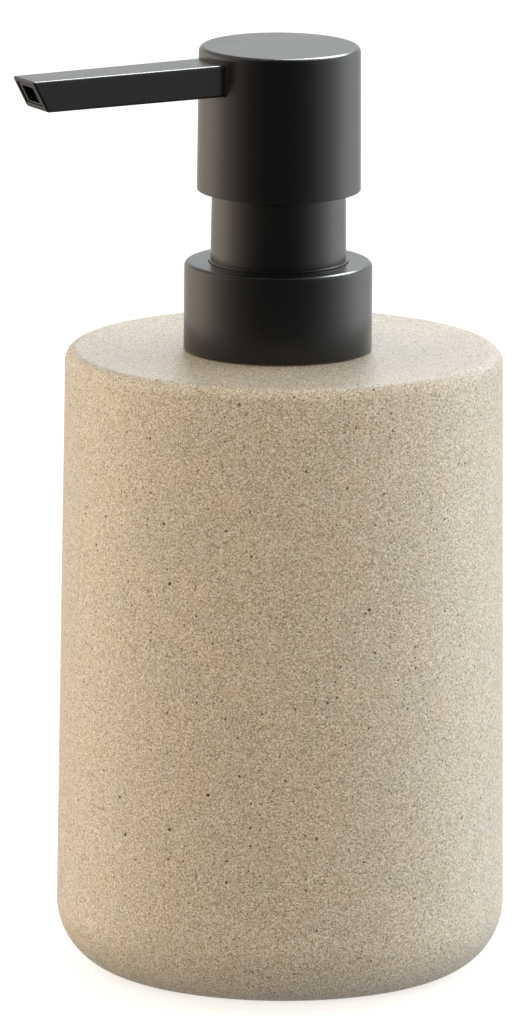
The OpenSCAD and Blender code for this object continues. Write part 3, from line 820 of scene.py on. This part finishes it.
class PUMP_OT_stage(bpy.types.Operator):
    """Pale floor, light tent, three lamps and camera"""
    bl_idname = "soap_pump.stage"
    bl_label = "Studio"

    def execute(self, context):
        studio = context.scene.pump_studio
        self.add_floor(context, studio)
        self.add_tent(context, studio)
        self.add_lamps(context, studio)
        self.add_camera(context, studio)
        context.scene.view_settings.view_transform = "Standard"
        return {"FINISHED"}

    def add_floor(self, context, studio):
        """Wide pale sheet. It shows soft contact shadows, glows so that it stays near white all
        over, and sends no light back up."""
        reach, thickness, around = 8.0, 0.01, 64
        made, tree, shader = material("paper_matt_pale")
        shader.inputs["Base Color"].default_value = rgba(studio.floor)
        shader.inputs["Roughness"].default_value = 0.9
        shader.inputs["Specular IOR Level"].default_value = 0.0
        shader.inputs["Emission Color"].default_value = rgba((1, 1, 1))
        shader.inputs["Emission Strength"].default_value = 0.62
        mesh = skin("floor", turned([(0, -thickness), (reach, -thickness), (reach, 0), (0, 0)],
                                    0, around))
        mesh.materials.append(made)
        floor = bpy.data.objects.new("floor", mesh)
        context.scene.collection.objects.link(floor)
        floor.visible_diffuse = floor.visible_glossy = floor.visible_transmission = False
        floor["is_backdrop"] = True

    def add_tent(self, context, studio):
        """Light from all round: dark at the camera, brightest between beside and behind the object,
        warmer on the left. The camera itself sees plain white behind the object. The ramps hold
        brightness as a share of their highest value, which the strength puts back."""
        world = bpy.data.worlds.new("tent")
        context.scene.world = world
        world.use_nodes = True
        tree = world.node_tree
        tree.nodes.clear()
        front, right = camera_axes(studio)
        way = add(tree, "TexCoord").outputs["Generated"]
        level = add(tree, "VectorMath", {0: way, 1: (1, 1, 0)}, operation="MULTIPLY")
        level = add(tree, "VectorMath", {0: level.outputs[0]}, operation="NORMALIZE").outputs[0]
        behind = add(tree, "VectorMath", {0: level, 1: -front}, operation="DOT_PRODUCT")
        aside = add(tree, "VectorMath", {0: level, 1: right}, operation="DOT_PRODUCT")
        turn = add(tree, "MapRange", {"Value": behind.outputs["Value"], "From Min": -1.0})
        # how far round (0 at the camera, 0.5 beside, 1 behind), and how bright
        grey = [(0.0, 0.07), (1.0, 0.85), (0.05, 0.1), (0.17, 0.3), (0.45, 1.35), (0.62, 2.25),
                (0.78, 1.75), (0.93, 0.85)]
        peak = max(value for _, value in grey)
        round_light = add(tree, "ValToRGB", {"Fac": turn.outputs["Result"]},
                          stops=[(at, [value / peak] * 3) for at, value in grey])
        height = add(tree, "SeparateXYZ", {0: way}).outputs["Z"]
        height = add(tree, "MapRange", {"Value": height, "From Min": -1.0}).outputs["Result"]
        # how high (0 straight down, 0.5 level, 1 straight up), how bright, and in what colour
        lift = [(0.2, 0.36, "#ffffff"), (0.83, 0.66, "#eff6ff"), (0.4, 1.0, "#ffffff"),
                (0.6, 1.28, "#ffffff"), (0.68, 1.02, "#fafcff")]
        most = max(value for _, value, _ in lift)
        up_light = add(tree, "ValToRGB", {"Fac": height}, stops=[
            (at, [value / most * part for part in linear(tone)]) for at, value, tone in lift])
        side = add(tree, "MapRange", {"Value": aside.outputs["Value"], "From Min": -0.8,
                                      "From Max": 0.0})
        tint = mix(tree, side.outputs["Result"], rgba(studio.warm), rgba(studio.cool))
        light = mix(tree, 1.0, round_light.outputs["Color"], up_light.outputs["Color"], "MULTIPLY")
        light = mix(tree, 1.0, light, tint, "MULTIPLY")
        tent = add(tree, "Background", {"Color": light, "Strength": peak * most * studio.tent})
        white = add(tree, "Background", {"Color": rgba((1, 1, 1)), "Strength": 1.0})
        seen = add(tree, "LightPath").outputs["Is Camera Ray"]
        both = add(tree, "MixShader", {0: seen, 1: tent.outputs[0], 2: white.outputs[0]})
        add(tree, "OutputWorld", {"Surface": both.outputs[0]})

    def add_lamps(self, context, studio):
        """A soft box above the camera, which only fills, and two behind the object that only shine:
        a high one in the edges of the black pieces, and a low one in the top of the bottle. "angle"
        and "lift" are where each one stands, in degrees: round from the camera towards its right,
        and up. "fills" is true for a lamp that lights faces and false for one that only shows as a
        shine. "lit" is the finish that cards leave it to shine on."""
        front, right = camera_axes(studio)
        low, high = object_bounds()
        middle = Vector((0, 0, (low.z + high.z) / 2))
        for name, angle, lift, wide, tall, power, tone, fills, lit in (
                ("key", 0, 22, 0.9, 0.5, studio.key, studio.warm, True, None),
                ("strip", 152, 50, 0.75, 0.5, studio.strip, studio.cool, False, "black_plastic"),
                ("back", 157, 28, 1.2, 0.3, studio.back, studio.cool, False, "cast_resin")):
            angle, lift = math.radians(angle), math.radians(lift)
            way = (front * math.cos(angle) + right * math.sin(angle)) * math.cos(lift)
            way.z = math.sin(lift)
            lamp = bpy.data.lights.new(name, "AREA")
            lamp.shape = "RECTANGLE"
            lamp.size, lamp.size_y = wide, tall
            lamp.energy = power * math.pi * wide * tall
            lamp.color = tone
            box = bpy.data.objects.new(name, lamp)
            box.location = middle + LAMP_DISTANCE * way
            box.rotation_euler = way.to_track_quat("Z", "Y").to_euler()
            box.visible_camera = False
            box.visible_diffuse, box.visible_glossy = fills, not fills
            if lit:
                box.light_linking.receiver_collection = self.pieces_in(context, lit)
            context.scene.collection.objects.link(box)

    def pieces_in(self, context, slot):
        """The pieces with one finish, for a lamp that cards keep off the others."""
        pieces = bpy.data.collections.new("lit_" + slot)
        for piece in context.scene.objects:
            if piece.type == "MESH" and finish_of(slot) in piece.data.materials[:]:
                pieces.objects.link(piece)
        return pieces

    def add_camera(self, context, studio):
        """Long lens, a little above the object."""
        front, right = camera_axes(studio)
        lift = math.radians(studio.elevation)
        back = front * math.cos(lift) + Vector((0, 0, math.sin(lift)))
        aim = right * studio.aim_side + Vector((0, 0, studio.aim_height))
        data = bpy.data.cameras.new("camera")
        data.sensor_width = 36.0
        data.lens = studio.lens
        data.clip_start, data.clip_end = 0.05, 40.0
        camera = bpy.data.objects.new("camera", data)
        camera.location = aim + back * studio.distance
        camera.rotation_mode = "QUATERNION"
        camera.rotation_quaternion = back.to_track_quat("Z", "Y")
        camera.rotation_quaternion.rotate(Quaternion(back, math.radians(studio.roll)))
        context.scene.collection.objects.link(camera)
        context.scene.camera = camera


# ---------------------------------------------------------------- add-on

class PUMP_PT_sidebar(bpy.types.Panel):
    """Buttons that make the dispenser piece by piece"""
    bl_idname = "PUMP_PT_sidebar"
    bl_label = "Soap pump"
    bl_space_type = "VIEW_3D"
    bl_region_type = "UI"
    bl_category = "Soap pump"

    def draw(self, context):
        for operator in PIECES:
            self.layout.operator(operator.bl_idname)
        for name in SETTINGS:
            group = getattr(context.scene, name)
            box = self.layout.box()
            box.label(text=type(group).__name__)
            for key in type(group).__annotations__:
                box.prop(group, key)


SETTINGS = {
    "pump_resin_look": ResinLook,
    "pump_lacquer_look": LacquerLook,
    "pump_bottle_shape": BottleShape,
    "pump_shape": PumpShape,
    "pump_spout_shape": SpoutShape,
    "pump_spring_shape": SpringShape,
    "pump_studio": Studio,
}
PIECES = (PUMP_OT_resin_bottle, PUMP_OT_base_pad, PUMP_OT_collar, PUMP_OT_head, PUMP_OT_spout,
          PUMP_OT_spring, PUMP_OT_inner_parts, PUMP_OT_stage)


def register():
    for kind in (*SETTINGS.values(), *PIECES, PUMP_PT_sidebar):
        bpy.utils.register_class(kind)
    for name, group in SETTINGS.items():
        setattr(bpy.types.Scene, name, PointerProperty(type=group))


def unregister():
    for name in SETTINGS:
        delattr(bpy.types.Scene, name)
    for kind in (PUMP_PT_sidebar, *reversed(PIECES), *reversed(SETTINGS.values())):
        bpy.utils.unregister_class(kind)


def main():
    register()
    for operator in PIECES:
        group, name = operator.bl_idname.split(".")
        getattr(getattr(bpy.ops, group), name)()


if __name__ == "__main__":
    main()
